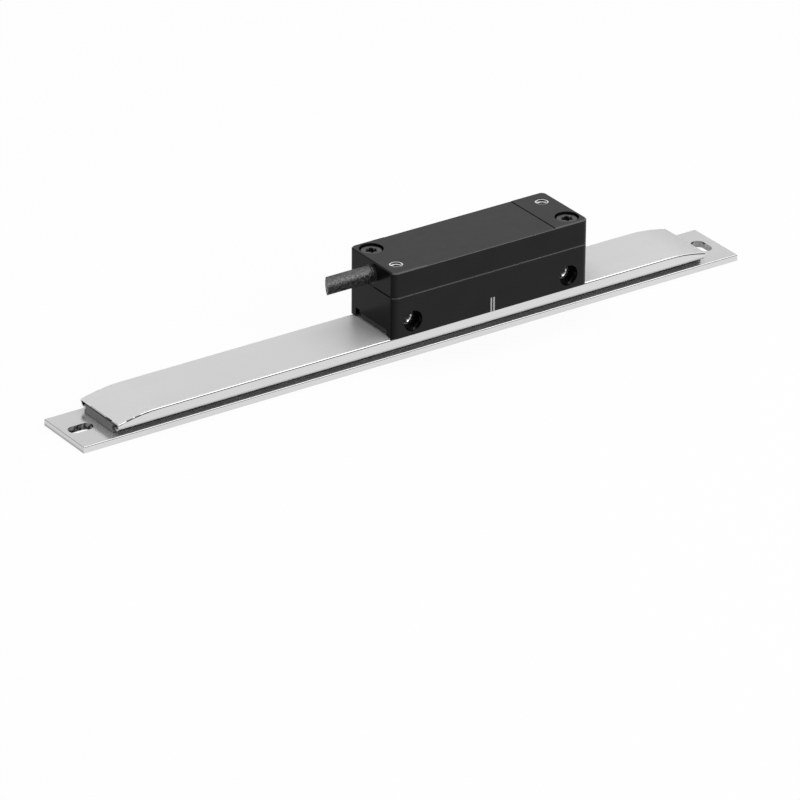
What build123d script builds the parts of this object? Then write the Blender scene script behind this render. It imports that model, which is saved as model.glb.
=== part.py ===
from build123d import *
import os
from math import cos, radians, sin, sqrt, tan

# Magnetic linear encoder: a readhead that slides along a covered magnetic scale.
# Millimetres. X runs along the scale, -Y is the front, Z is up, and the origin is the
# middle of the base plate's underside. Readhead pieces are drawn about the readhead's
# own middle in X, and moved to its rest place when they are written.

# Travel and scale
travel = 113.0
sensor_span = 33.0
scale_end_gap = 0.7
magnet_width = 12.2
magnet_thickness = 1.3
backing_thickness = 0.3
tape_thickness = 0.1
bond_thickness = 0.1

# Base plate
base_tongue = 9.77
base_width = 17.5
base_thickness = 1.7
base_edge = 0.3
slot_width = 3.6
slot_length = 6.5
slot_to_end = 4.55

# Scale carrier, with a groove along each side that the cover's lips snap into
carrier_width = 12.7
carrier_height = 2.1
carrier_overhang = 0.2
groove_depth = 0.45
groove_height = 0.9
groove_below_top = 0.9

# Cover strip, a thin channel with bent ends and lips rolled inwards
cover_width = 16.8
cover_thickness = 0.4
cover_corner = 0.5
cover_clearance = 0.05
cover_end_radius = 45.0
cover_end_gap = 0.3
lip_below_carrier_top = 0.2
lip_radius = 1.0
lip_kink = 0.75
lip_bite = 0.15
lip_rise = 0.3
lip_inset = 0.15
lip_overlap = 0.2

# Readhead housing
head_rest_x = 20.0
ride_gap = 0.15
head_length = 57.0
head_width = 19.0
lower_height = 10.75
lid_height = 6.6
corner_radius = 1.5
top_edge = 0.3
parting_edge = 0.2
end_wall = 9.5
side_wall = 2.5
roof_thickness = 1.5
floor_thickness = 2.35
cavity_radius = 1.5
pad_length = 9.75
pad_step = 0.15

# Channel under the readhead, a deeper groove along its rear, and the sensor window in it
channel_width = 13.3
channel_depth = 1.6
groove_extra = 0.75
channel_radius = 0.4
foot_round = 0.6
window_thickness = 1.25
window_end_inset = 0.5
window_front_gap = 0.45
window_rear_gap = 1.75
window_opening_x = 27.0
window_opening_y = 10.5

# Seal between the two housing halves
seal_width = 0.8
seal_depth = 0.6
seal_land = 0.7

# Housing screws and thread inserts
screw_to_end = 3.75
screw_to_side = 3.9
screw_diameter = 3.0
screw_length = 8.0
screw_head_diameter = 5.5
screw_head_height = 2.0
socket_across_flats = 2.5
socket_depth = 1.3
head_clearance = 0.25
counterbore_depth = 2.4
shank_clearance = 0.2
thread_slack = 0.03
insert_to_side = 4.6
insert_wall = 0.2
insert_length = 4.5
insert_recess = 0.25
drill_point = 0.5
side_hole_to_end = 5.7
side_hole_height = 3.65
side_counterbore = 5.3
side_counterbore_depth = 2.5

# Circuit board and what is soldered to it
board_gap = 0.3
board_thickness = 1.0
board_screw_to_end = 2.3
board_screw_to_side = 2.3
board_screw_diameter = 2.0
board_screw_head = 3.8
board_screw_head_height = 1.2
board_screw_length = 2.5
chip_height = 1.0
processor_size = (7.0, 7.0)
processor_x = 0.5
processor_lead_count = 8
driver_size = (5.2, 4.0)
driver_to_end = 8.2
driver_y = -2.9
driver_lead_count = 6
regulator_size = (3.0, 1.8)
regulator_to_end = 8.7
regulator_y = 3.8
regulator_lead_count = 3
lead_pitch = 0.8
lead_width = 0.3
lead_reach = 0.9
lead_thickness = 0.15
sensor_height = 1.8
sensor_width = 4.4
sensor_y = 2.6
absolute_sensor_length = 20.0
incremental_sensor_length = 8.0
crystal_size = (2.5, 3.2, 0.8)
crystal_gap = 0.5
crystal_y = 4.2
ceramic_size = (1.0, 0.6, 0.5)
ceramic_gap = 1.0
ceramic_pitch = 1.7
ceramic_front_y = -4.6
ceramic_rear_y = 4.9
ceramic_row_count = 3
tantalum_size = (3.2, 1.6, 1.6)
tantalum_to_end = 5.7
tantalum_y = 1.4
header_to_end = 7.2
header_pitch = 1.0
header_pin_count = 6
header_wall = 0.6
header_height = 3.2
header_floor = 0.8
pin_size = 0.4
pin_height = 2.6
plug_x = 3.0
plug_margin = 0.5
plug_clearance = 0.1
plug_height = 4.0

# Cable stub
cable_diameter = 4.3
cable_stub = 12.8
cable_below_top = 3.4
cable_cut_angle = 25.0
jacket_wall = 0.5
shield_wall = 0.15
grommet_wall = 0.3
ferrule_wall = 0.5
ferrule_length = 3.0
core_diameter = 1.05
core_ring = 0.79
core_count = 4
core_bend = 3.2
core_bite = 1.0
core_slack = 0.05

# Heights worked out from the sizes above
carrier_bottom = base_thickness + bond_thickness
carrier_top = carrier_bottom + carrier_height
backing_bottom = carrier_top + tape_thickness
magnet_bottom = backing_bottom + backing_thickness
cover_under = magnet_bottom + magnet_thickness + cover_clearance
cover_top = cover_under + cover_thickness
head_bottom = cover_top + ride_gap
parting = head_bottom + lower_height
head_top = parting + lid_height
channel_top = head_bottom + channel_depth
window_top = channel_top - bond_thickness
window_bottom = window_top - window_thickness
board_bottom = channel_top + floor_thickness
board_top = board_bottom + board_thickness
board_screw_bottom = board_top - board_screw_length - drill_point
cable_z = head_top - cable_below_top
seat_z = head_top - counterbore_depth
side_hole_z = head_bottom + side_hole_height

# Lengths and places worked out from the sizes above
cover_drop = cover_under - carrier_top - cover_end_gap
bend_run = sqrt(cover_end_radius ** 2 - (cover_end_radius - cover_drop) ** 2)
scale_length = travel + sensor_span
cover_length = scale_length + 2 * (scale_end_gap + bend_run)
base_length = cover_length + 2 * base_tongue
carrier_length = cover_length + 2 * carrier_overhang
cavity_x = head_length - 2 * end_wall
cavity_y = head_width - 2 * side_wall
cavity_end = cavity_x / 2
board_x = cavity_x - 2 * board_gap
board_y = cavity_y - 2 * board_gap
header_x = header_to_end - board_x / 2
screw_x = head_length / 2 - screw_to_end
screw_y = head_width / 2 - screw_to_side
insert_y = head_width / 2 - insert_to_side
insert_diameter = screw_diameter + 2 * insert_wall
side_hole_x = head_length / 2 - side_hole_to_end
cable_end_x = -head_length / 2 - cable_stub
cable_start_x = cable_end_x - cable_diameter
plug_y = header_pitch * header_pin_count + 2 * plug_margin
plug_bottom = board_top + header_floor
plug_top = plug_bottom + plug_height

screw_places = [(-screw_x, screw_y), (screw_x, -screw_y)]
insert_places = [(-screw_x, -insert_y), (screw_x, insert_y)]
board_screw_places = [
    (side * (board_x / 2 - board_screw_to_end), side * (board_y / 2 - board_screw_to_side))
    for side in (-1, 1)
]
processor_edge = processor_size[0] / 2
ceramic_places = [
    (processor_x - processor_edge - ceramic_gap, ceramic_front_y + ceramic_pitch * index)
    for index in range(ceramic_row_count)
] + [
    (processor_x + processor_edge + ceramic_gap, ceramic_rear_y - ceramic_pitch * index)
    for index in range(ceramic_row_count)
]
tantalum_places = [
    (board_x / 2 - tantalum_to_end, tantalum_y),
    (board_screw_to_end - board_x / 2, board_screw_to_side),
]


def block(x_size, y_size, bottom, top, x=0.0, y=0.0):
    """A box about (x, y), from one height to another."""
    return Pos(x, y, (bottom + top) / 2) * Box(x_size, y_size, top - bottom)


def rounded_block(x_size, y_size, radius, bottom, top):
    """A box with rounded upright corners."""
    outline = Pos(0, 0, bottom) * RectangleRounded(x_size, y_size, radius)
    return extrude(outline, top - bottom)


def upright(diameter, bottom, top, x=0.0, y=0.0):
    """An upright cylinder from one height to another."""
    return Pos(x, y, (bottom + top) / 2) * Cylinder(diameter / 2, top - bottom)


def along_x(diameter, start, end, y=0.0, z=0.0):
    """A cylinder along X."""
    return Pos((start + end) / 2, y, z) * Rot(0, 90, 0) * Cylinder(diameter / 2, end - start)


def along_y(diameter, start, end, x=0.0, z=0.0):
    """A cylinder along Y."""
    return Pos(x, (start + end) / 2, z) * Rot(90, 0, 0) * Cylinder(diameter / 2, end - start)


def union(shapes):
    """One solid from several that touch or overlap."""
    result = shapes[0]
    for shape in shapes[1:]:
        result += shape
    return result


def group(shapes):
    """Separate solids kept together as one node."""
    return Compound([solid for shape in shapes for solid in shape.solids()])


def level_edges(shape, height):
    """The edges that lie at one height."""
    found = []
    for edge in shape.edges():
        box = edge.bounding_box()
        if abs(box.min.Z - height) < 1e-4 and abs(box.max.Z - height) < 1e-4:
            found.append(edge)
    return found


# The scale


def base_plate():
    plate = block(base_length, base_width, 0, base_thickness)
    plate = fillet(level_edges(plate, base_thickness), base_edge)
    slot_x = base_length / 2 - slot_to_end
    for x, turn in ((-slot_x, 0), (slot_x, 90)):
        slot = Pos(x, 0, -1) * SlotOverall(slot_length, slot_width, rotation=turn)
        plate -= extrude(slot, base_thickness + 2)
    return plate


def carrier_bond():
    return block(carrier_length, carrier_width, base_thickness, carrier_bottom)


def scale_carrier():
    carrier = block(carrier_length, carrier_width, carrier_bottom, carrier_top)
    groove_middle = carrier_top - groove_below_top
    for side in (-1, 1):
        y = side * (carrier_width / 2 - groove_depth / 2 + 0.5)
        carrier -= block(
            carrier_length + 2, groove_depth + 1,
            groove_middle - groove_height / 2, groove_middle + groove_height / 2, 0, y,
        )
    return carrier


def scale_tape():
    return block(scale_length, magnet_width, carrier_top, backing_bottom)


def scale_backing():
    return block(scale_length, magnet_width, backing_bottom, magnet_bottom)


def magnetic_scale():
    return block(scale_length, magnet_width, magnet_bottom, magnet_bottom + magnet_thickness)


def bent_profile(half_length, bend_start, top, radius, bottom):
    """Side view, in XZ, of a bar whose top curves down from bend_start to its ends."""

    def height(x):
        past = x - bend_start
        return top - radius + sqrt(radius ** 2 - past ** 2)

    half_way = (bend_start + half_length) / 2
    with BuildSketch(Plane.XZ) as profile:
        with BuildLine():
            Line((-bend_start, top), (bend_start, top))
            for side in (-1, 1):
                ThreePointArc(
                    (side * bend_start, top),
                    (side * half_way, height(half_way)),
                    (side * half_length, height(half_length)),
                )
                Line((side * half_length, height(half_length)), (side * half_length, bottom))
            Line((-half_length, bottom), (half_length, bottom))
        make_face()
    return profile.sketch


def cover_lip(side):
    """The rolled lip along one edge: in under the channel, then up into the carrier's groove."""
    flange_y = cover_width / 2 - cover_thickness / 2
    lip_top = carrier_top - lip_below_carrier_top
    low = lip_top - lip_radius
    kink_y = carrier_width / 2 + lip_kink
    tip_y = carrier_width / 2 - lip_bite
    path = FilletPolyline(
        (side * flange_y, lip_top + lip_overlap),
        (side * flange_y, low),
        (side * kink_y, low),
        (side * tip_y, low + lip_rise),
        radius=[lip_radius, cover_thickness],
    )
    strip = trace(path, cover_thickness)
    return extrude(Plane.YZ * strip, cover_length / 2 - lip_inset, both=True)


def cover_strip():
    half = cover_length / 2
    start = half - bend_run
    lip_top = carrier_top - lip_below_carrier_top
    outside = extrude(
        bent_profile(half, start, cover_top, cover_end_radius, lip_top),
        cover_width / 2, both=True,
    )
    rims = [
        edge for edge in outside.edges()
        if abs(abs(edge.center().Y) - cover_width / 2) < 1e-4
        and edge.center().Z > lip_top + 1e-3
        and abs(edge.center().X) < half - 1e-3
    ]
    outside = fillet(rims, cover_corner)
    inside = extrude(
        bent_profile(half + 1, start, cover_under, cover_end_radius - cover_thickness, lip_top - 1),
        cover_width / 2 - cover_thickness, both=True,
    )
    return union([outside - inside, cover_lip(-1), cover_lip(1)])


# The readhead's housing


def lower_housing():
    body = rounded_block(head_length, head_width, corner_radius, head_bottom, parting)
    body = chamfer(level_edges(body, parting), parting_edge)
    channel = block(head_length + 2, channel_width, head_bottom - 1, channel_top)
    channel = fillet(
        [edge for edge in channel.edges().filter_by(Axis.X) if edge.center().Z > head_bottom],
        channel_radius,
    )
    groove = block(
        head_length + 2, window_rear_gap, head_bottom - 1, channel_top + groove_extra,
        0, (channel_width - window_rear_gap) / 2,
    )
    body -= channel + groove
    feet = [
        edge for edge in body.edges().filter_by(Axis.X)
        if abs(abs(edge.center().Y) - channel_width / 2) < 1e-4
        and abs(edge.center().Z - head_bottom) < 1e-4
    ]
    body = fillet(feet, foot_round)
    body -= rounded_block(cavity_x, cavity_y, cavity_radius, board_bottom, parting + 1)
    body -= block(window_opening_x, window_opening_y, channel_top - 1, board_bottom + 1)
    body -= seal_ring(parting + 1)
    for x, y in screw_places:
        body -= upright(screw_diameter, seat_z - screw_length - drill_point, parting + 1, x, y)
    for x, y in board_screw_places:
        body -= upright(board_screw_diameter, board_screw_bottom, board_bottom + 1, x, y)
    front = -head_width / 2
    for x in (-side_hole_x, side_hole_x):
        body -= along_y(side_counterbore, front - 1, front + side_counterbore_depth, x, side_hole_z)
        depth = side_counterbore_depth + insert_length + drill_point
        body -= along_y(insert_diameter, front - 1, front + depth, x, side_hole_z)
    return body


def upper_housing():
    lid = rounded_block(head_length, head_width, corner_radius, parting, head_top)
    lid = chamfer(level_edges(lid, parting), parting_edge)
    lid = chamfer(level_edges(lid, head_top), top_edge)
    lid -= block(head_length - 2 * pad_length, head_width + 2, head_top - pad_step, head_top + 1)
    roof = head_top - roof_thickness
    lid -= rounded_block(cavity_x, cavity_y, cavity_radius, parting - 1, roof)
    for x, y in screw_places:
        lid -= upright(screw_head_diameter + 2 * head_clearance, seat_z, head_top + 1, x, y)
        lid -= upright(screw_diameter + 2 * shank_clearance, parting - 1, seat_z + 1, x, y)
    depth = insert_recess + insert_length + drill_point
    for x, y in insert_places:
        lid -= upright(insert_diameter, head_top - depth, head_top + 1, x, y)
    hole = cable_diameter + 2 * grommet_wall
    lid -= along_x(hole, -head_length / 2 - 1, -cavity_end + 1, 0, cable_z)
    pocket = cable_diameter + 2 * ferrule_wall
    lid -= along_x(pocket, -cavity_end - ferrule_length, -cavity_end + 1, 0, cable_z)
    return lid


def seal_ring(top):
    """The seal's closed loop, from the floor of its groove up to a height."""
    inner_x = cavity_x + 2 * seal_land
    inner_y = cavity_y + 2 * seal_land
    outer = rounded_block(
        inner_x + 2 * seal_width, inner_y + 2 * seal_width,
        cavity_radius + seal_land + seal_width, parting - seal_depth, top,
    )
    inner = rounded_block(
        inner_x, inner_y, cavity_radius + seal_land, parting - seal_depth - 1, top + 1,
    )
    return outer - inner


def housing_seal():
    return seal_ring(parting)


def cap_screw(diameter, length, head_diameter, head_height, flats, depth):
    """A socket head screw whose head stands on z = 0."""
    head = upright(head_diameter, 0, head_height)
    head = chamfer(level_edges(head, head_height), head_height / 10)
    socket = Pos(0, 0, head_height - depth) * RegularPolygon(flats / 2, 6, major_radius=False)
    return head + upright(diameter, -length, 0) - extrude(socket, depth + 1)


def housing_screws():
    screw = cap_screw(
        screw_diameter - 2 * thread_slack, screw_length,
        screw_head_diameter, screw_head_height, socket_across_flats, socket_depth,
    )
    return group([Pos(x, y, seat_z) * screw for x, y in screw_places])


def thread_insert():
    """A thread insert from z = 0 down, as a sleeve with the thread's nominal bore."""
    sleeve = upright(insert_diameter, -insert_length, 0)
    return sleeve - upright(screw_diameter, -insert_length - 1, 1)


def top_thread_inserts():
    top = head_top - insert_recess
    return group([Pos(x, y, top) * thread_insert() for x, y in insert_places])


def side_thread_inserts():
    seat_y = -head_width / 2 + side_counterbore_depth
    turned = Rot(90, 0, 0) * thread_insert()
    return group([Pos(x, seat_y, side_hole_z) * turned for x in (-side_hole_x, side_hole_x)])


def window_plan(bottom, top):
    """A plate with the sensor window's outline."""
    front = -channel_width / 2 + window_front_gap
    rear = channel_width / 2 - window_rear_gap
    return block(
        head_length - 2 * window_end_inset, rear - front, bottom, top, 0, (front + rear) / 2
    )


def sensor_window():
    return window_plan(window_bottom, window_top)


def window_bond():
    frame = window_plan(window_top, channel_top)
    return frame - block(window_opening_x, window_opening_y, window_top - 1, channel_top + 1)


# The electronics


def circuit_board():
    board = rounded_block(board_x, board_y, cavity_radius - board_gap, board_bottom, board_top)
    for x, y in board_screw_places:
        board -= upright(board_screw_diameter + 2 * shank_clearance, 0, head_top, x, y)
    return board


def board_screws():
    screw = cap_screw(
        board_screw_diameter - 2 * thread_slack, board_screw_length,
        board_screw_head, board_screw_head_height, board_screw_diameter * 0.75,
        board_screw_head_height * 0.6,
    )
    return group([Pos(x, y, board_top) * screw for x, y in board_screw_places])


def chip(size, place, lead_count):
    """A moulded package on top of the board, with flat leads along two of its sides."""
    x_size, y_size = size
    x, y = place
    body = block(x_size, y_size, board_top, board_top + chip_height, x, y)
    body = chamfer(level_edges(body, board_top + chip_height), chip_height / 8)
    leads = []
    first = -(lead_count - 1) * lead_pitch / 2
    for index in range(lead_count):
        leads.append(block(
            lead_width, y_size + 2 * lead_reach, board_top, board_top + lead_thickness,
            x + first + index * lead_pitch, y,
        ))
    return union([body] + leads)


def on_board(size, place):
    """A plain package on top of the board."""
    x_size, y_size, height = size
    return block(x_size, y_size, board_top, board_top + height, *place)


def under_board(length, y):
    """A sensor package on the underside of the board, in the window's opening."""
    return block(length, sensor_width, board_bottom - sensor_height, board_bottom, 0, y)


def absolute_sensor():
    return under_board(absolute_sensor_length, sensor_y)


def incremental_sensor():
    return under_board(incremental_sensor_length, -sensor_y)


def processor_chip():
    return chip(processor_size, (processor_x, 0), processor_lead_count)


def line_driver_chip():
    return chip(driver_size, (board_x / 2 - driver_to_end, driver_y), driver_lead_count)


def voltage_regulator():
    place = (board_x / 2 - regulator_to_end, regulator_y)
    return chip(regulator_size, place, regulator_lead_count)


def clock_crystal():
    length = crystal_size[0]
    return on_board(crystal_size, (processor_x - processor_edge - crystal_gap - length / 2, crystal_y))


def ceramic_capacitors():
    return group([on_board(ceramic_size, place) for place in ceramic_places])


def tantalum_capacitors():
    return group([on_board(tantalum_size, place) for place in tantalum_places])


def board_header():
    outer_x = plug_x + 2 * (plug_clearance + header_wall)
    outer_y = plug_y + 2 * (plug_clearance + header_wall)
    shell = block(outer_x, outer_y, board_top, board_top + header_height, header_x)
    shell -= block(
        plug_x + 2 * plug_clearance, plug_y + 2 * plug_clearance,
        plug_bottom, board_top + header_height + 1, header_x,
    )
    for y in pin_places():
        shell -= block(pin_size, pin_size, board_top - 1, plug_bottom + 1, header_x, y)
    return shell


def pin_places():
    """Where the header's pins stand along Y."""
    first = -(header_pin_count - 1) * header_pitch / 2
    return [first + index * header_pitch for index in range(header_pin_count)]


def header_pins():
    return group([
        block(pin_size, pin_size, board_top, board_top + pin_height, header_x, y)
        for y in pin_places()
    ])


def cable_plug():
    plug = block(plug_x, plug_y, plug_bottom, plug_top, header_x)
    opening = pin_size + 2 * plug_clearance
    opening_top = board_top + pin_height + plug_clearance
    for y in pin_places():
        plug -= block(opening, opening, plug_bottom - 1, opening_top, header_x, y)
    for dy, dz in core_places():
        plug -= upright(
            core_diameter + 2 * core_slack, plug_top - core_bite, plug_top + 1, header_x + dz, dy
        )
    return plug


# The cable stub


def tube_x(outer, inner, start, end):
    """A tube along X on the cable's axis."""
    return along_x(outer, start, end, 0, cable_z) - along_x(inner, start - 1, end + 1, 0, cable_z)


def core_places():
    """Where each core lies about the cable's axis, across and up."""
    step = 360.0 / core_count
    angles = [radians(step * (index + 0.5)) for index in range(core_count)]
    return [(core_ring * cos(angle), core_ring * sin(angle)) for angle in angles]


def cut_off(shape):
    """The cable piece, cut slantwise at the free end, with the front a little longer."""
    side = (Align.MAX, Align.CENTER, Align.CENTER)
    waste = Box(cable_stub, 2 * cable_diameter, 2 * cable_diameter, align=side)
    return shape - Pos(cable_end_x, 0, cable_z) * Rot(0, 0, -cable_cut_angle) * waste


def cable_jacket():
    inner = cable_diameter - 2 * jacket_wall
    return cut_off(tube_x(cable_diameter, inner, cable_start_x, -cavity_end))


def cable_shield():
    outer = cable_diameter - 2 * jacket_wall
    return cut_off(tube_x(outer, outer - 2 * shield_wall, cable_start_x, -cavity_end))


def cable_core(dy, dz):
    """One core: straight through the cable, then down a slope and upright into the plug."""
    corner = dz * tan(radians(22.5))
    slope_x = header_x - core_bend + corner
    slope_z = cable_z - core_bend + corner
    path = Polyline(
        (cable_start_x, dy, cable_z + dz),
        (slope_x, dy, cable_z + dz),
        (header_x + dz, dy, slope_z),
        (header_x + dz, dy, plug_top - core_bite),
    )
    section = Plane((cable_start_x, dy, cable_z + dz), z_dir=(1, 0, 0)) * Circle(core_diameter / 2)
    return cut_off(sweep(section, path=path, transition=Transition.RIGHT))


def cable_cores():
    return group([cable_core(dy, dz) for dy, dz in core_places()])


def cable_ferrule():
    outer = cable_diameter + 2 * ferrule_wall
    return tube_x(outer, cable_diameter, -cavity_end - ferrule_length, -cavity_end)


def cable_grommet():
    outer = cable_diameter + 2 * grommet_wall
    return tube_x(outer, cable_diameter, -head_length / 2, -cavity_end - ferrule_length)


track_pieces = [
    base_plate, carrier_bond, scale_carrier, scale_tape, scale_backing, magnetic_scale, cover_strip,
]
head_pieces = [
    lower_housing, upper_housing, housing_seal, housing_screws, top_thread_inserts,
    side_thread_inserts, sensor_window, window_bond, circuit_board, board_screws,
    absolute_sensor, incremental_sensor, processor_chip, line_driver_chip, voltage_regulator,
    clock_crystal, ceramic_capacitors, tantalum_capacitors, board_header, header_pins,
    cable_plug, cable_jacket, cable_shield, cable_cores, cable_ferrule, cable_grommet,
]

os.makedirs("parts", exist_ok=True)
for piece in track_pieces:
    export_step(piece(), f"parts/{piece.__name__}.step")
for piece in head_pieces:
    export_step(Pos(head_rest_x, 0, 0) * piece(), f"parts/{piece.__name__}.step")
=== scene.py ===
from math import cos, pi, radians, sin

import bmesh
import bpy
from mathutils import Matrix, Vector


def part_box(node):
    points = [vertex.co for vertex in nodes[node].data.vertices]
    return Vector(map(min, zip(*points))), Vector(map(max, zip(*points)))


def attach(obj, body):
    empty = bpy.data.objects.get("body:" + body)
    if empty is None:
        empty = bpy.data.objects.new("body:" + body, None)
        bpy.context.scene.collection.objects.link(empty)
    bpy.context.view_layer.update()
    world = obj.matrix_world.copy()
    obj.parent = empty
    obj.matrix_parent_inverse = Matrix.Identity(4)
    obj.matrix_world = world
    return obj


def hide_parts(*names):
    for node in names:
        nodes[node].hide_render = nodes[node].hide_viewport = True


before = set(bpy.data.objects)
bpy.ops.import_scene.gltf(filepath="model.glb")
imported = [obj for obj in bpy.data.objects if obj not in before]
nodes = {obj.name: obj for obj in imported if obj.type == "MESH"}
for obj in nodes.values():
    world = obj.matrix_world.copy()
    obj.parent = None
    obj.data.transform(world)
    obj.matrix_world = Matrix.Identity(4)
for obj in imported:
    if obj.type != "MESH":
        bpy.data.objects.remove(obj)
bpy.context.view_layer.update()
MM = 0.001
SIDES = (("left", -1), ("right", 1))
UP = Vector((0, 0, 1))
FORWARD = Vector((0, -1, 0))


# Shader nodes

def shader(name, base, roughness, metallic=0.0, **sockets):
    """A new material: the material, its node tree and its principled shader."""
    mat = bpy.data.materials.new(name)
    mat.use_nodes = True
    bsdf = mat.node_tree.nodes["Principled BSDF"]
    bsdf.inputs["Base Color"].default_value = (*base, 1)
    bsdf.inputs["Roughness"].default_value = roughness
    bsdf.inputs["Metallic"].default_value = metallic
    for socket, value in sockets.items():
        bsdf.inputs[socket.replace("_", " ")].default_value = value
    return mat, mat.node_tree, bsdf


def texture(tree, kind, scale, stretch):
    """A texture node on object coordinates. Scale counts features per metre."""
    coords = tree.nodes.new("ShaderNodeTexCoord")
    mapping = tree.nodes.new("ShaderNodeMapping")
    mapping.inputs["Scale"].default_value = stretch
    tree.links.new(coords.outputs["Object"], mapping.inputs["Vector"])
    node = tree.nodes.new(kind)
    node.inputs["Scale"].default_value = scale
    tree.links.new(mapping.outputs["Vector"], node.inputs["Vector"])
    return node


def noise(tree, scale, stretch=(1, 1, 1), detail=3.0):
    """Cloudy noise from 0 to 1."""
    node = texture(tree, "ShaderNodeTexNoise", scale, stretch)
    node.inputs["Detail"].default_value = detail
    return node.outputs["Fac"]


def cells(tree, scale, stretch=(1, 1, 1)):
    """The distance to the nearest of many scattered points."""
    return texture(tree, "ShaderNodeTexVoronoi", scale, stretch).outputs["Distance"]


def calc(tree, operation, *values):
    """A math node's output. Each value is a number or a socket."""
    node = tree.nodes.new("ShaderNodeMath")
    node.operation = operation
    for socket, value in zip(node.inputs, values):
        if isinstance(value, (int, float)):
            socket.default_value = value
        else:
            tree.links.new(value, socket)
    return node.outputs[0]


def spread(tree, value, low, high, start=0.0, end=1.0):
    """A value's range from start to end mapped onto the one from low to high."""
    node = tree.nodes.new("ShaderNodeMapRange")
    node.inputs["From Min"].default_value = start
    node.inputs["From Max"].default_value = end
    node.inputs["To Min"].default_value = low
    node.inputs["To Max"].default_value = high
    tree.links.new(value, node.inputs["Value"])
    return node.outputs["Result"]


def parts_of(tree, coordinate):
    """The X, Y and Z of a coordinate: Object for the place, Normal for a face's direction."""
    coords = tree.nodes.new("ShaderNodeTexCoord")
    parts = tree.nodes.new("ShaderNodeSeparateXYZ")
    tree.links.new(coords.outputs[coordinate], parts.inputs[0])
    return parts.outputs


def facing(tree, axis, start, end):
    """0 to 1 as a face's normal runs from start to end along an axis."""
    return spread(tree, parts_of(tree, "Normal")[axis], 0.0, 1.0, start, end)


def ramp(tree, value, dark, light, start=0.3, end=0.7):
    """A colour that runs from dark to light with a value."""
    node = tree.nodes.new("ShaderNodeValToRGB")
    first, last = node.color_ramp.elements
    first.position, last.position = start, end
    first.color, last.color = (*dark, 1), (*light, 1)
    tree.links.new(value, node.inputs["Fac"])
    return node.outputs["Color"]


def tint(tree, bsdf, value, dark, light):
    """The base colour runs from dark to light with a value."""
    tree.links.new(ramp(tree, value, dark, light), bsdf.inputs["Base Color"])


def rough(tree, bsdf, value, low, high):
    """The roughness runs from low to high with a noise value."""
    tree.links.new(spread(tree, value, low, high, 0.3, 0.7), bsdf.inputs["Roughness"])


def relief(tree, bsdf, value, depth, strength):
    """Fine relief of a depth in metres."""
    bump = tree.nodes.new("ShaderNodeBump")
    bump.inputs["Strength"].default_value = strength
    bump.inputs["Distance"].default_value = depth
    tree.links.new(value, bump.inputs["Height"])
    tree.links.new(bump.outputs["Normal"], bsdf.inputs["Normal"])


def blend(tree, bsdf, share, colour):
    """The base colour gives way to another one as a share runs from 0 to 1."""
    mix = tree.nodes.new("ShaderNodeMix")
    mix.data_type = "RGBA"
    tree.links.new(bsdf.inputs["Base Color"].links[0].from_socket, mix.inputs["A"])
    if isinstance(colour, tuple):
        mix.inputs["B"].default_value = (*colour, 1)
    else:
        tree.links.new(colour, mix.inputs["B"])
    tree.links.new(share, mix.inputs["Factor"])
    tree.links.new(mix.outputs["Result"], bsdf.inputs["Base Color"])


def scaled(colour, share):
    """A colour made darker or lighter."""
    return tuple(share * part for part in colour)


# Metals

def rolled_steel(name, light, dark, smooth, dull):
    """Bright stainless sheet with fine lines along X and faint clouds."""
    mat, tree, bsdf = shader(name, light, smooth, 1.0)
    clouds = noise(tree, 55, (0.35, 1, 1), 4)
    tint(tree, bsdf, clouds, dark, light)
    lines = noise(tree, 5200, (0.02, 1, 1), 2)
    rough(tree, bsdf, lines, smooth, dull)
    relief(tree, bsdf, lines, 1.0e-6, 0.12)
    return mat


def satin_top(name, light, dark, smooth, dull, shine, polish, rim=0.53):
    """Rolled steel with a satin flat top, of a given shine, and edges polished by use.

    The foot of each rounded edge, up to the rim's normal Z, is painted dark: a painted reflection
    of a dark horizon.
    """
    mat = rolled_steel(name, light, dark, smooth, dull)
    tree = mat.node_tree
    bsdf = tree.nodes["Principled BSDF"]
    top = facing(tree, "Z", 0.80, 0.96)
    tree.links.new(spread(tree, top, 1.0, shine), bsdf.inputs["Metallic"])
    plain = bsdf.inputs["Roughness"].links[0].from_socket
    bright = spread(tree, top, polish, 0.0)
    tree.links.new(calc(tree, "SUBTRACT", plain, bright), bsdf.inputs["Roughness"])
    # Painted reflection: a dark line along the foot of each rounded edge, where a dark horizon
    # would be mirrored.
    above_wall = facing(tree, "Z", 0.03, 0.14)
    above_foot = facing(tree, "Z", rim - 0.07, rim + 0.07)
    painted_dark_reflection = calc(tree, "SUBTRACT", above_wall, above_foot)
    blend(tree, bsdf, painted_dark_reflection, scaled(light, 0.18))
    return mat


def folded_cover(name, light, **satin):
    """Satin sheet whose lips, rolled in underneath, are painted dark as shade."""
    mat = satin_top(name, light, **satin)
    tree = mat.node_tree
    # Painted shade on the lips that face down under the sheet.
    painted_shade_under = facing(tree, "Z", -0.02, -0.60)
    blend(tree, tree.nodes["Principled BSDF"], painted_shade_under, scaled(light, 0.42))
    return mat


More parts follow.
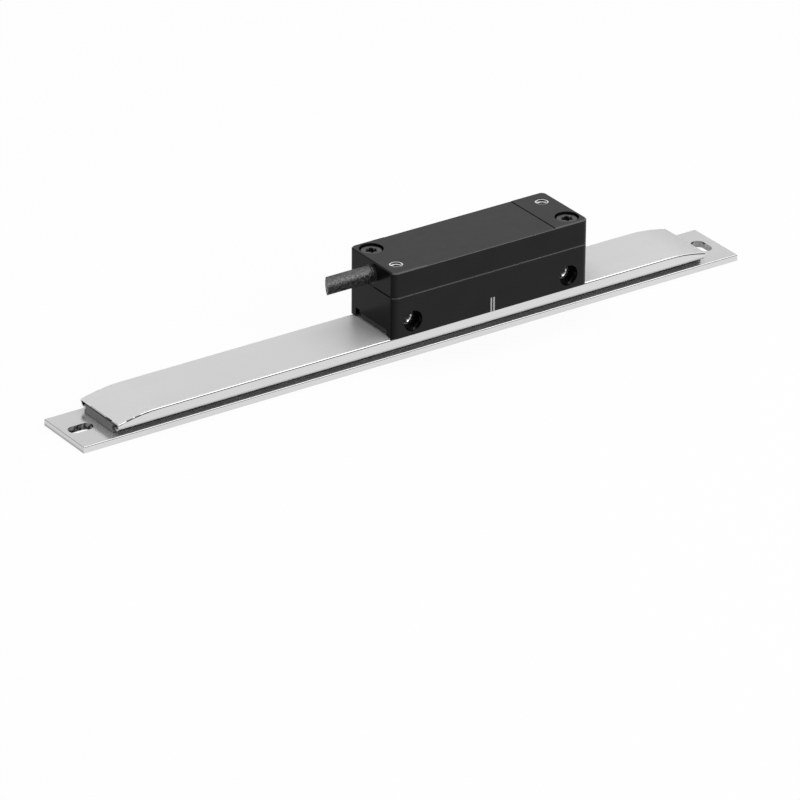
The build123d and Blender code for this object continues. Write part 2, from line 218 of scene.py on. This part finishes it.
def punched_plate(name, light, **satin):
    """Satin sheet with slot walls painted dark as shade, with lighter speckles, and painted less
    dark in the right-hand slot; its sheared end faces are darker, more so towards the bottom.
    """
    mat = satin_top(name, light, rim=0.58, **satin)
    tree = mat.node_tree
    bsdf = tree.nodes["Principled BSDF"]
    place = parts_of(tree, "Object")
    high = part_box("base_plate")[1]
    lower = spread(tree, place["Z"], 1.0, 0.0, 0.3 * MM, 0.8 * MM)
    # The end faces are darker, and darker still towards the bottom.
    for side in (-1, 1):
        end_face = facing(tree, "X", side * 0.30, side * 0.90)
        blend(tree, bsdf, end_face, scaled(light, 0.83))
        blend(tree, bsdf, calc(tree, "MULTIPLY", end_face, lower), scaled(light, 0.5))
    level = calc(tree, "SUBTRACT", facing(tree, "Z", -1, 1), 0.5)
    upright = calc(tree, "LESS_THAN", calc(tree, "ABSOLUTE", level), 0.25)
    inside_x, inside_y = (
        calc(tree, "LESS_THAN", calc(tree, "ABSOLUTE", place[axis]), limit - 1 * MM)
        for axis, limit in (("X", high.x), ("Y", high.y))
    )
    wall = calc(tree, "MULTIPLY", upright, calc(tree, "MULTIPLY", inside_x, inside_y))
    # Painted shade on the slot walls, with lighter speckles in it.
    painted_slot_shade = ramp(
        tree, noise(tree, 1300), (0.012, 0.012, 0.012), (0.17, 0.17, 0.17), 0.42, 0.62,
    )
    blend(tree, bsdf, wall, painted_slot_shade)
    # Painted light: the slot walls on the right are less dark.
    painted_light_right = spread(tree, place["X"], 0.0, 0.4, 0.0, 1 * MM)
    blend(tree, bsdf, calc(tree, "MULTIPLY", wall, painted_light_right), (0.50, 0.50, 0.497))
    return mat


def coated_metal(name, base, smooth, dull, sawn=None):
    """Dark satin coating with a fine grain, with a painted highlight on the front's bevelled edges.

    The two end faces of a bar that was sawn to length can have a colour of their own.
    """
    mat, tree, bsdf = shader(name, base, smooth, IOR=1.31)
    tint(tree, bsdf, noise(tree, 130, detail=5), scaled(base, 0.75), scaled(base, 1.3))
    rough(tree, bsdf, noise(tree, 420, detail=4), smooth, dull)
    relief(tree, bsdf, noise(tree, 9000, detail=2), 2.0e-6, 0.15)
    # Painted highlight: a lighter colour on the front's bevelled edges.
    above_side = facing(tree, "Z", 0.50, 0.65)
    above_bevel = facing(tree, "Z", 0.78, 0.92)
    bevel = calc(tree, "SUBTRACT", above_side, above_bevel)
    painted_highlight = calc(tree, "MULTIPLY", bevel, facing(tree, "Y", -0.10, -0.40))
    blend(tree, bsdf, painted_highlight, (0.10, 0.10, 0.102))
    if sawn is not None:
        for side in (-1, 1):
            blend(tree, bsdf, facing(tree, "X", side * 0.60, side * 0.90), sawn)
    by_height = spread(tree, facing(tree, "Z", 0, 1), 0.40, 0.58)
    by_end = spread(tree, facing(tree, "X", -0.95, -0.4), 0.42, 1.0)
    level = calc(tree, "MULTIPLY", by_height, by_end)
    tree.links.new(level, bsdf.inputs["Specular IOR Level"])
    return mat


def turning_lines(tree, bsdf, smooth, dull):
    """Fine machining lines across Z, in the roughness and in the relief."""
    lines = noise(tree, 2500, (1, 1, 5), 3)
    rough(tree, bsdf, lines, smooth, dull)
    relief(tree, bsdf, lines, 4.0e-6, 0.3)
    return lines


def turned_steel(name, base, smooth, dull):
    """Machined fastener metal with fine lines."""
    mat, tree, bsdf = shader(name, base, smooth, 1.0)
    lines = turning_lines(tree, bsdf, smooth, dull)
    tint(tree, bsdf, lines, scaled(base, 0.8), base)
    return mat


def bored_steel(name, light, dark, axis, mouth, bottom):
    """Fastener metal with painted shade that deepens down a bore, from its mouth to its bottom
    along an axis.
    """
    mat, tree, bsdf = shader(name, light, 0.16, 1.0)
    # Painted shade: the colour darkens from the bore's mouth to its bottom.
    painted_bore_shading = spread(tree, parts_of(tree, "Object")[axis], 1.0, 0.0, mouth, bottom)
    tint(tree, bsdf, painted_bore_shading, dark, light)
    turning_lines(tree, bsdf, 0.12, 0.24)
    return mat


def braid(name):
    """Tinned wires that cross in a close weave."""
    tin = (0.30, 0.29, 0.27)
    mat, tree, bsdf = shader(name, tin, 0.35, 1.0)
    wires = cells(tree, 6000)
    tint(tree, bsdf, wires, (0.08, 0.078, 0.075), tin)
    relief(tree, bsdf, wires, 4.0e-5, 0.8)
    return mat


# Plastic, rubber and board

def moulded(name, base, smooth, dull, grain=1800, depth=1.0e-5):
    """Plastic or rubber with a matt grain."""
    mat, tree, bsdf = shader(name, base, smooth, IOR=1.45)
    clouds = noise(tree, 300, detail=4)
    tint(tree, bsdf, clouds, scaled(base, 0.75), base)
    rough(tree, bsdf, clouds, smooth, dull)
    relief(tree, bsdf, noise(tree, grain), depth, 0.5)
    return mat


def drawn_rubber(name, dark, light, smooth, dull):
    """Cable skin with a coarse grain, glossier on its upper front side."""
    mat, tree, bsdf = shader(name, light, smooth, IOR=1.62)
    grain = noise(tree, 2000, (0.8, 1, 1), 1)
    tint(tree, bsdf, grain, dark, light)
    rough(tree, bsdf, grain, smooth, dull)
    relief(tree, bsdf, grain, 4.0e-4, 0.55)
    gloss = spread(tree, facing(tree, "Z", 0.15, 0.80), 0.08, 1.0)
    by_end = spread(tree, facing(tree, "X", -0.95, -0.4), 0.2, 1.0)
    by_side = spread(tree, facing(tree, "Y", 0.25, -0.5), 0.25, 1.0)
    turned = calc(tree, "MULTIPLY", by_end, by_side)
    level = calc(tree, "MULTIPLY", gloss, turned)
    tree.links.new(level, bsdf.inputs["Specular IOR Level"])
    return mat


def printed_board(name):
    """Green solder mask with faint copper tracks showing through."""
    mat, tree, bsdf = shader(name, (0.02, 0.13, 0.05), 0.35)
    tracks = cells(tree, 700, (1, 1, 0.2))
    tint(tree, bsdf, tracks, (0.012, 0.10, 0.04), (0.03, 0.19, 0.08))
    relief(tree, bsdf, tracks, 1.5e-5, 0.4)
    return mat


# Finishes

screws_low, screws_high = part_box("housing_screws")
top_low, top_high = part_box("top_thread_inserts")
side_low, side_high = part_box("side_thread_inserts")
bore_shade = 1.6 * MM

finishes = {
    "cover": folded_cover(
        "cover_steel", light=(0.70, 0.70, 0.698), dark=(0.665, 0.665, 0.663),
        smooth=0.34, dull=0.42, shine=0.35, polish=0.27,
    ),
    "base": punched_plate(
        "base_steel", light=(0.70, 0.70, 0.697), dark=(0.66, 0.66, 0.657),
        smooth=0.13, dull=0.19, shine=0.75, polish=0.08,
    ),
    "carrier": coated_metal(
        "carrier_coating", (0.15, 0.15, 0.152), 0.32, 0.46, sawn=(0.27, 0.27, 0.272),
    ),
    "housing": coated_metal("housing_coating", (0.0055, 0.0055, 0.0058), 0.17, 0.24),
    "screw": turned_steel("screw_steel", (0.12, 0.12, 0.122), 0.18, 0.34),
    # The top inserts are lighter than the side inserts: painted light on the ones that face up.
    "top_insert": bored_steel(
        "top_insert_steel", (0.85, 0.845, 0.83), (0.08, 0.08, 0.08),
        "Z", top_high.z, top_high.z - bore_shade,
    ),
    "side_insert": bored_steel(
        "side_insert_steel", (0.66, 0.655, 0.64), (0.05, 0.05, 0.05),
        "Y", side_low.y, side_low.y + bore_shade,
    ),
    "plated": turned_steel("plated_steel", (0.60, 0.60, 0.59), 0.2, 0.35),
    "gold": turned_steel("gold_flash", (0.80, 0.60, 0.25), 0.2, 0.3),
    "brass": turned_steel("brass", (0.70, 0.55, 0.27), 0.2, 0.35),
    "band": rolled_steel("band_steel", (0.50, 0.51, 0.52), (0.42, 0.43, 0.44), 0.25, 0.4),
    "window": moulded("window_plastic", (0.012, 0.012, 0.013), 0.35, 0.5),
    "magnet": moulded("magnet_rubber", (0.03, 0.03, 0.03), 0.5, 0.65, 2500),
    "seal": moulded("seal_rubber", (0.02, 0.02, 0.02), 0.5, 0.7),
    "glue": moulded("glue", (0.10, 0.10, 0.11), 0.3, 0.5),
    "tape": moulded("tape", (0.72, 0.68, 0.55), 0.4, 0.6),
    "package": moulded("chip_package", (0.03, 0.03, 0.032), 0.4, 0.55, 4000),
    "nylon": moulded("nylon", (0.80, 0.78, 0.70), 0.4, 0.55),
    "ceramic": moulded("ceramic", (0.42, 0.30, 0.18), 0.35, 0.5),
    "tantalum": moulded("tantalum_case", (0.55, 0.34, 0.06), 0.4, 0.55),
    "jacket": drawn_rubber(
        "jacket_skin", (0.003, 0.003, 0.003), (0.060, 0.060, 0.061), 0.24, 0.38,
    ),
    "dark_film": moulded("dark_film", (0.012, 0.012, 0.012), 0.45, 0.6),
    "core": moulded("core_skin", (0.10, 0.10, 0.11), 0.35, 0.5),
    "board": printed_board("solder_mask"),
    "braid": braid("tinned_braid"),
    "mark": moulded("mark_white", (0.62, 0.62, 0.61), 0.5, 0.65, 3000, 4.0e-6),
}

node_finish = {
    "base_plate": "base", "carrier_bond": "dark_film", "scale_carrier": "carrier",
    "scale_tape": "tape", "scale_backing": "band", "magnetic_scale": "magnet",
    "cover_strip": "cover", "lower_housing": "housing", "upper_housing": "housing",
    "housing_seal": "seal", "housing_screws": "screw", "top_thread_inserts": "top_insert",
    "side_thread_inserts": "side_insert", "sensor_window": "window", "window_bond": "glue",
    "circuit_board": "board", "board_screws": "plated", "absolute_sensor": "package",
    "incremental_sensor": "package", "processor_chip": "package",
    "line_driver_chip": "package", "voltage_regulator": "package", "clock_crystal": "plated",
    "ceramic_capacitors": "ceramic", "tantalum_capacitors": "tantalum",
    "board_header": "nylon", "header_pins": "gold", "cable_plug": "nylon",
    "cable_jacket": "jacket", "cable_shield": "braid", "cable_cores": "core",
    "cable_ferrule": "brass", "cable_grommet": "seal",
}
for node, finish in node_finish.items():
    nodes[node].data.materials.clear()
    nodes[node].data.materials.append(finishes[finish])


# Pieces, which all ride on the readhead

def piece(name, mesh, finish, sharp=None):
    """A new piece from a bmesh, shaded smooth up to a sharp angle in degrees where one is given."""
    data = bpy.data.meshes.new(name)
    mesh.to_mesh(data)
    mesh.free()
    obj = bpy.data.objects.new(name, data)
    bpy.context.scene.collection.objects.link(obj)
    data.materials.append(finishes[finish])
    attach(obj, "readhead")
    if sharp is not None:
        for face in data.polygons:
            face.use_smooth = True
        data.set_sharp_from_angle(angle=radians(sharp))
    return obj


def bridge(mesh, rings):
    """Faces between each ring of vertices and the next."""
    for ring, following in zip(rings, rings[1:]):
        for k in range(len(ring)):
            n = (k + 1) % len(ring)
            mesh.faces.new((ring[k], ring[n], following[n], following[k]))


def thread(name, centre, axis, radius, depth, pitch, length, node, taper=9):
    """The crests of a thread inside a bore: a helical ridge that starts at its mouth.

    It grows from nothing, and back to it, in a number of steps of 10 degrees.
    """
    steps = 36
    last = int(steps * (length / pitch))
    upright = axis.to_track_quat("Z", "Y").to_matrix()
    mesh = bmesh.new()
    rings = []
    for step in range(last + 1):
        angle = 2 * pi * step / steps
        drop = pitch * step / steps + 0.5 * pitch
        crest = radius - depth * min(1, step / taper, (last - step) / taper)
        section = (
            (radius, 0.46 * pitch), (crest, 0.07 * pitch),
            (crest, -0.07 * pitch), (radius, -0.46 * pitch),
        )
        rings.append([
            mesh.verts.new(centre + upright @ Vector((r * cos(angle), r * sin(angle), z - drop)))
            for r, z in section
        ])
    bridge(mesh, rings)
    mesh.faces.new(rings[0])
    mesh.faces.new(reversed(rings[-1]))
    bmesh.ops.recalc_face_normals(mesh, faces=mesh.faces)
    return piece(name, mesh, node_finish[node], sharp=35)


def star_outline(inner, outer):
    """The radius and angle of each point of a six-lobed socket."""
    lobes = 6
    points = 8 * lobes
    outline = []
    for index in range(points):
        angle = 2 * pi * index / points
        wave = 0.5 + 0.5 * cos(lobes * angle)
        outline.append((inner + (outer - inner) * wave ** 0.8, angle))
    return outline


def cap_screw(name, centre, bottom):
    """A screw with a six-lobed socket, lathed and closed, with its axis upright."""
    socket = star_outline(1.08 * MM, 1.50 * MM)
    # Share of the socket's outline and depth below the head's top
    socket_rings = (
        (0.86, 1.25 * MM), (0.97, 1.15 * MM), (1.0, 0.12 * MM), (1.09, 0.01 * MM),
    )
    # Radius and height above the head's seat
    outer_rings = (
        (1.75 * MM, head_height),
        (head_radius - 0.34 * MM, head_height),
        (head_radius - 0.14 * MM, head_height - 0.06 * MM),
        (head_radius - 0.03 * MM, head_height - 0.20 * MM),
        (head_radius, head_height - 0.34 * MM),
        (head_radius, 0.08 * MM),
        (head_radius - 0.08 * MM, 0),
        (shank_radius, 0),
        (shank_radius, bottom + 0.3 * MM),
        (shank_radius - 0.3 * MM, bottom),
    )
    outlines = [
        ([(share * r, a) for r, a in socket], head_height - depth)
        for share, depth in socket_rings
    ] + [([(radius, a) for _, a in socket], z) for radius, z in outer_rings]
    mesh = bmesh.new()
    rings = [
        [mesh.verts.new(centre + Vector((r * cos(a), r * sin(a), z))) for r, a in outline]
        for outline, z in outlines
    ]
    bridge(mesh, rings)
    floor = mesh.verts.new(centre + Vector((0, 0, head_height - 1.45 * MM)))
    for k in range(len(socket)):
        mesh.faces.new((rings[0][(k + 1) % len(socket)], rings[0][k], floor))
    mesh.faces.new(rings[-1])
    bmesh.ops.recalc_face_normals(mesh, faces=mesh.faces)
    return piece(name, mesh, "screw", sharp=38)


def bar(name, low, high, edge, finish):
    """A thin rounded bar between two corners."""
    mesh = bmesh.new()
    bmesh.ops.create_cube(mesh, size=1.0)
    low, high = Vector(low), Vector(high)
    for vert in mesh.verts:
        vert.co = (low + high) / 2 + vert.co * (high - low)
    bmesh.ops.bevel(mesh, geom=mesh.edges[:], offset=edge, segments=2, affect="EDGES")
    return piece(name, mesh, finish)


head_radius = 2.75 * MM
head_height = 2.0 * MM
shank_radius = 1.47 * MM
insert_radius = 1.7 * MM
bore_radius = 1.5 * MM
crest_depth = 0.24 * MM
thread_pitch = 0.5 * MM
thread_length = 4.2 * MM
coil_width = 0.38 * MM
coil_height = 0.12 * MM
line_middles = (("left", 19.95 * MM), ("right", 20.75 * MM))
line_half = 0.22 * MM
line_length = 3.7 * MM
line_edge = 0.008 * MM

housing_low, housing_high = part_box("upper_housing")
housing_x = (housing_low.x + housing_high.x) / 2
body_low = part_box("lower_housing")[0]

seat = screws_high.z - head_height
screw_x = (screws_high.x - screws_low.x) / 2 - head_radius
screw_y = (screws_high.y - screws_low.y) / 2 - head_radius
for label, side in SIDES:
    centre = Vector((housing_x + side * screw_x, -side * screw_y, seat))
    screw = cap_screw(f"housing_screw_{label}", centre, screws_low.z - seat)
    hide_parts("housing_screws")

for label, side in SIDES:
    x = (top_low.x + top_high.x) / 2 + side * ((top_high.x - top_low.x) / 2 - insert_radius)
    y = side * ((top_high.y - top_low.y) / 2 - insert_radius)
    thread(
        f"top_thread_{label}", Vector((x, y, top_high.z)), UP, bore_radius,
        crest_depth, thread_pitch, thread_length, "top_thread_inserts",
    )
    thread(
        f"top_coil_{label}", Vector((x, y, housing_high.z - 0.01 * MM)), UP, insert_radius,
        coil_width, coil_height, coil_height, "top_thread_inserts", taper=2,
    )

for label, side in SIDES:
    x = (side_low.x + side_high.x) / 2 + side * ((side_high.x - side_low.x) / 2 - insert_radius)
    z = (side_low.z + side_high.z) / 2
    thread(
        f"side_thread_{label}", Vector((x, side_low.y, z)), FORWARD, bore_radius,
        crest_depth, thread_pitch, thread_length, "side_thread_inserts",
    )

line_front = housing_low.y - 0.02 * MM
line_back = housing_low.y + 0.05 * MM
line_foot = body_low.z + 0.05 * MM
for label, x in line_middles:
    bar(
        f"index_line_{label}", (x - line_half, line_front, line_foot),
        (x + line_half, line_back, line_foot + line_length), line_edge, "mark",
    )


# Stage, light and camera

def seen(tree):
    """1 for rays of the camera and of reflections, 0 for the rays that carry light."""
    path = tree.nodes.new("ShaderNodeLightPath").outputs
    return calc(tree, "MAXIMUM", path["Is Camera Ray"], path["Is Glossy Ray"])


def mix_shaders(tree, share, first, second, target):
    """The target gets the first shader, or the second where a share is 1."""
    mix = tree.nodes.new("ShaderNodeMixShader")
    tree.links.new(share, mix.inputs["Fac"])
    tree.links.new(first, mix.inputs[1])
    tree.links.new(second, mix.inputs[2])
    tree.links.new(mix.outputs["Shader"], target)


def lit_white(name, colour, glow_strength, share):
    """Plain matt white that shows as white, with soft shadows left on it."""
    mat = bpy.data.materials.new(name)
    mat.use_nodes = True
    tree = mat.node_tree
    tree.nodes.clear()
    out = tree.nodes.new("ShaderNodeOutputMaterial")
    matt = tree.nodes.new("ShaderNodeBsdfDiffuse")
    matt.inputs["Color"].default_value = (*colour, 1)
    glow = tree.nodes.new("ShaderNodeEmission")
    glow.inputs["Color"].default_value = (1, 1, 1, 1)
    glow.inputs["Strength"].default_value = glow_strength
    shown = calc(tree, "MULTIPLY", seen(tree), share)
    mix_shaders(tree, shown, matt.outputs["BSDF"], glow.outputs["Emission"], out.inputs["Surface"])
    return mat


def make_floor():
    """A wide plain floor just under the part."""
    mesh = bpy.data.meshes.new("studio_floor")
    half = 6.0
    corners = [(-half, -half, 0), (half, -half, 0), (half, half, 0), (-half, half, 0)]
    mesh.from_pydata(corners, [], [(0, 1, 2, 3)])
    mesh.materials.append(lit_white("floor_white", (0.55, 0.55, 0.55), 1.06, 0.86))
    floor = bpy.data.objects.new("studio_floor", mesh)
    floor.location.z = -0.02 * MM
    bpy.context.scene.collection.objects.link(floor)


def make_world():
    """A white room. Its reflection has a dark skirting all round and a lamp panel overhead."""
    world = bpy.data.worlds.new("studio")
    bpy.context.scene.world = world
    world.use_nodes = True
    tree = world.node_tree
    light = tree.nodes["Background"]
    light.inputs["Color"].default_value = (1, 1, 1, 1)
    light.inputs["Strength"].default_value = 0.33
    coords = tree.nodes.new("ShaderNodeTexCoord")
    skirting = spread(tree, parts_of(tree, "Generated")["Z"], 0.05, 1.0, 0.10, 0.34)
    aim = tree.nodes.new("ShaderNodeVectorMath")
    aim.operation = "DOT_PRODUCT"
    aim.inputs[1].default_value = Vector((0.45, -0.50, 0.74)).normalized()
    tree.links.new(coords.outputs["Generated"], aim.inputs[0])
    panel = spread(tree, aim.outputs["Value"], 0.0, 0.5, 0.90, 0.96)
    room = calc(tree, "ADD", skirting, panel)
    path = tree.nodes.new("ShaderNodeLightPath").outputs
    white = tree.nodes.new("ShaderNodeBackground")
    tree.links.new(
        calc(tree, "MAXIMUM", room, path["Is Camera Ray"]), white.inputs["Strength"]
    )
    mix_shaders(
        tree, seen(tree), light.outputs["Background"], white.outputs["Background"],
        tree.nodes["World Output"].inputs["Surface"],
    )


def softbox(name, place, size, power, mirrored=True):
    """A rectangular lamp that faces the part. Its mirror image can be left out."""
    lamp = bpy.data.lights.new(name, "AREA")
    lamp.shape = "RECTANGLE"
    lamp.size, lamp.size_y = size
    lamp.energy = power
    obj = bpy.data.objects.new(name, lamp)
    obj.location = place
    obj.rotation_mode = "QUATERNION"
    obj.rotation_quaternion = (-Vector(place)).to_track_quat("-Z", "Y")
    obj.visible_glossy = mirrored
    bpy.context.scene.collection.objects.link(obj)


def make_camera():
    """The photograph's camera: its direction, distance and lens fit the object's outlines."""
    azimuth, elevation, roll = radians(-34.5096), radians(26.5735), radians(0.4227)
    target = Vector((-4.7476, -6.9912, -11.7290)) * MM
    distance = 1.51555
    back = Vector((sin(azimuth) * cos(elevation), -cos(azimuth) * cos(elevation), sin(elevation)))
    right = UP.cross(back).normalized()
    up = back.cross(right)
    turned_right = cos(roll) * right + sin(roll) * up
    turned_up = cos(roll) * up - sin(roll) * right
    data = bpy.data.cameras.new("camera")
    data.sensor_width = 36.0
    data.lens = 284.08
    data.clip_start, data.clip_end = 0.05, 20.0
    camera = bpy.data.objects.new("camera", data)
    rotation = Matrix((turned_right, turned_up, back)).transposed()
    camera.matrix_world = Matrix.Translation(target + back * distance) @ rotation.to_4x4()
    bpy.context.scene.collection.objects.link(camera)
    bpy.context.scene.camera = camera


make_floor()
make_world()
softbox("key_light", (0, 0.05, 1.0), (0.9, 0.9), 7.0, mirrored=False)
softbox("fill_light", (0.4, -0.9, 0.6), (0.9, 0.65), 4.2)
make_camera()
bpy.context.scene.view_settings.view_transform = "Standard"
